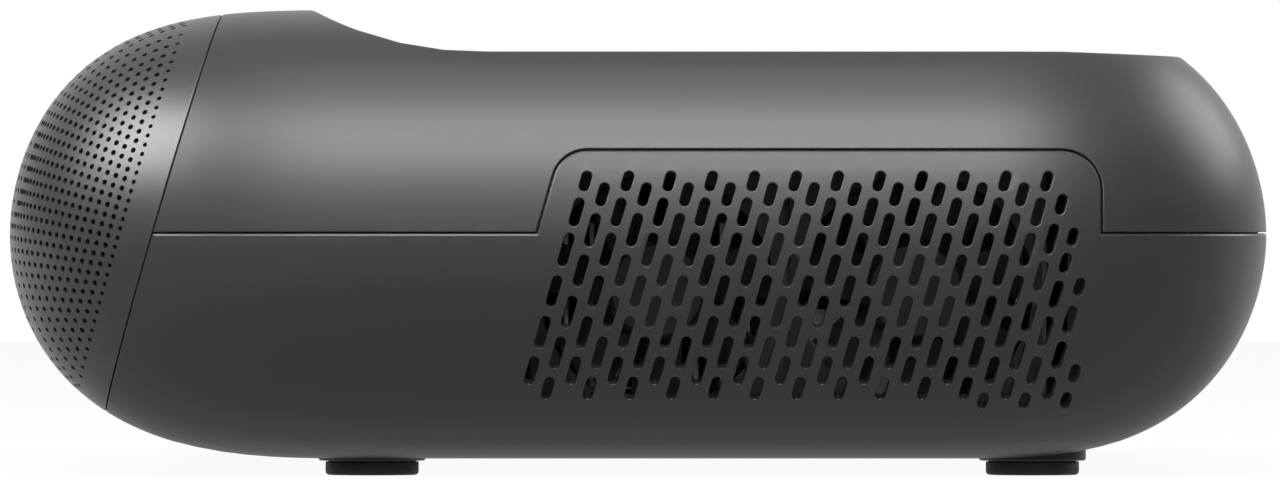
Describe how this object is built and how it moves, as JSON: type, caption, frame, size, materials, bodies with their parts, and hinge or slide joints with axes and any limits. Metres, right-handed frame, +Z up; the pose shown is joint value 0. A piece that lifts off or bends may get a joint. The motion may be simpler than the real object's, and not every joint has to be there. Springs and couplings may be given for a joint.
{
  "type": "laser projector",
  "caption": "Ultra short throw laser projector with rounded body, perforated speaker grille, vented sides, deck window and adjustable feet.",
  "frame": {"origin": "on the floor below the centre of the body", "axes": "+Z up, -Y out of the speaker grille at the front, +Y out of the sockets at the rear, X along the width"},
  "size_m": [0.606, 0.4, 0.1482],
  "materials": {
    "shell_grey": "satin dark grey",
    "grille_grey": "satin dark grey, perforated",
    "strip_black": "gloss black",
    "button_grey": "satin",
    "black_plastic": "fine texture",
    "rubber_black": "matt",
    "window_glass": "tinted, polished",
    "socket_metal": "plated",
    "socket_plastic": "moulded",
    "board_green": "solder mask",
    "sheet_steel": "zinc plated",
    "cast_alloy": "cast",
    "fin_alloy": "mill finish",
    "fan_black": "moulded",
    "lens_black": "black anodised",
    "mirror_coat": "coated glass",
    "cone_black": "treated paper"
  },
  "bodies": {
    "projector": {"audio_jack": "socket_plastic", "chassis": "sheet_steel", "control_strip": "strip_black", "fan_frame_1": "fan_black", "fan_frame_2": "fan_black", "fan_frame_3": "fan_black", "focus_motor": "sheet_steel", "foot_collar_front_left": "black_plastic", "foot_collar_front_right": "black_plastic", "foot_collar_rear_left": "black_plastic", "foot_collar_rear_right": "black_plastic", "hdmi_port_1": "socket_metal", "hdmi_port_2": "socket_metal", "hdmi_port_3": "socket_metal", "heat_sink_left": "fin_alloy", "heat_sink_right": "fin_alloy", "key_board": "board_green", "lan_port": "socket_metal", "laser_module": "cast_alloy", "lens_barrel": "lens_black", "light_engine": "cast_alloy", "lower_housing": "shell_grey", "main_board": "board_green", "mirror": "mirror_coat", "mirror_bracket": "sheet_steel", "power_inlet": "socket_plastic", "power_supply": "sheet_steel", "projection_window": "window_glass", "rear_socket_tray": "black_plastic", "speaker_baffle": "black_plastic", "speaker_grille": "grille_grey", "tweeter_left": "black_plastic", "tweeter_right": "black_plastic", "upper_housing": "shell_grey", "usb_port_1": "socket_metal", "usb_port_2": "socket_metal", "wheel_motor": "lens_black", "window_bezel": "black_plastic", "woofer_left": "black_plastic", "woofer_right": "black_plastic"},
    "source_button": {"source_button": "button_grey"},
    "volume_down_button": {"volume_down_button": "button_grey"},
    "volume_up_button": {"volume_up_button": "button_grey"},
    "power_button": {"power_button": "button_grey"},
    "focus_ring": {"focus_ring": "button_grey"},
    "focus_pinion": {"focus_pinion": "socket_metal"},
    "phosphor_wheel": {"phosphor_wheel": "mirror_coat"},
    "woofer_cone_left": {"woofer_cone_left": "cone_black"},
    "woofer_cone_right": {"woofer_cone_right": "cone_black"},
    "fan_rotor_1": {"fan_rotor_1": "fan_black"},
    "fan_rotor_2": {"fan_rotor_2": "fan_black"},
    "fan_rotor_3": {"fan_rotor_3": "fan_black"},
    "foot_pad_front_left": {"foot_pad_front_left": "rubber_black"},
    "foot_pad_rear_left": {"foot_pad_rear_left": "rubber_black"},
    "foot_pad_front_right": {"foot_pad_front_right": "rubber_black"},
    "foot_pad_rear_right": {"foot_pad_rear_right": "rubber_black"}
  },
  "joints": [
    {"name": "source_button_press", "type": "slide", "parent": "projector", "child": "source_button", "axis": [0, 0, -1], "range_m": [0, 0.0005], "stiffness_N_per_m": 800, "springref_m": -0.0005},
    {"name": "volume_down_button_press", "type": "slide", "parent": "projector", "child": "volume_down_button", "axis": [0, 0, -1], "range_m": [0, 0.0005], "stiffness_N_per_m": 800, "springref_m": -0.0005},
    {"name": "volume_up_button_press", "type": "slide", "parent": "projector", "child": "volume_up_button", "axis": [0, 0, -1], "range_m": [0, 0.0005], "stiffness_N_per_m": 800, "springref_m": -0.0005},
    {"name": "power_button_press", "type": "slide", "parent": "projector", "child": "power_button", "axis": [0, 0, -1], "range_m": [0, 0.0005], "stiffness_N_per_m": 800, "springref_m": -0.0005},
    {"name": "foot_screw_front_left", "type": "slide", "parent": "projector", "child": "foot_pad_front_left", "axis": [0, 0, -1], "range_m": [0, 0.005]},
    {"name": "foot_screw_rear_left", "type": "slide", "parent": "projector", "child": "foot_pad_rear_left", "axis": [0, 0, -1], "range_m": [0, 0.005]},
    {"name": "foot_screw_front_right", "type": "slide", "parent": "projector", "child": "foot_pad_front_right", "axis": [0, 0, -1], "range_m": [0, 0.005]},
    {"name": "foot_screw_rear_right", "type": "slide", "parent": "projector", "child": "foot_pad_rear_right", "axis": [0, 0, -1], "range_m": [0, 0.005]},
    {"name": "fan_spin_1", "type": "hinge", "parent": "projector", "child": "fan_rotor_1", "pos_m": [0.2426, 0.006, 0.059], "axis": [1, 0, 0], "continuous": true},
    {"name": "fan_spin_2", "type": "hinge", "parent": "projector", "child": "fan_rotor_2", "pos_m": [0.2426, 0.088, 0.059], "axis": [1, 0, 0], "continuous": true},
    {"name": "fan_spin_3", "type": "hinge", "parent": "projector", "child": "fan_rotor_3", "pos_m": [-0.2426, 0.006, 0.059], "axis": [1, 0, 0], "continuous": true},
    {"name": "phosphor_wheel_spin", "type": "hinge", "parent": "projector", "child": "phosphor_wheel", "pos_m": [-0.0926, 0.038, 0.056], "axis": [1, 0, 0], "continuous": true},
    {"name": "focus_ring_turn", "type": "hinge", "parent": "projector", "child": "focus_ring", "pos_m": [0, -0.024, 0.062], "axis": [0, 1, 0], "range_deg": [-30, 30]},
    {"name": "focus_pinion_turn", "type": "hinge", "parent": "projector", "child": "focus_pinion", "pos_m": [0.0353, -0.024, 0.062], "axis": [0, 1, 0], "range_deg": [-150, 150]},
    {"name": "woofer_cone_travel_left", "type": "slide", "parent": "projector", "child": "woofer_cone_left", "axis": [0, -0.9598, 0.2807], "range_m": [-0.0025, 0.0025], "stiffness_N_per_m": 2000},
    {"name": "woofer_cone_travel_right", "type": "slide", "parent": "projector", "child": "woofer_cone_right", "axis": [0, -0.9598, 0.2807], "range_m": [-0.0025, 0.0025], "stiffness_N_per_m": 2000}
  ],
  "couplings": [
    {"joint": "focus_pinion_turn", "follows": "focus_ring_turn", "ratio": -4.8333}
  ]
}
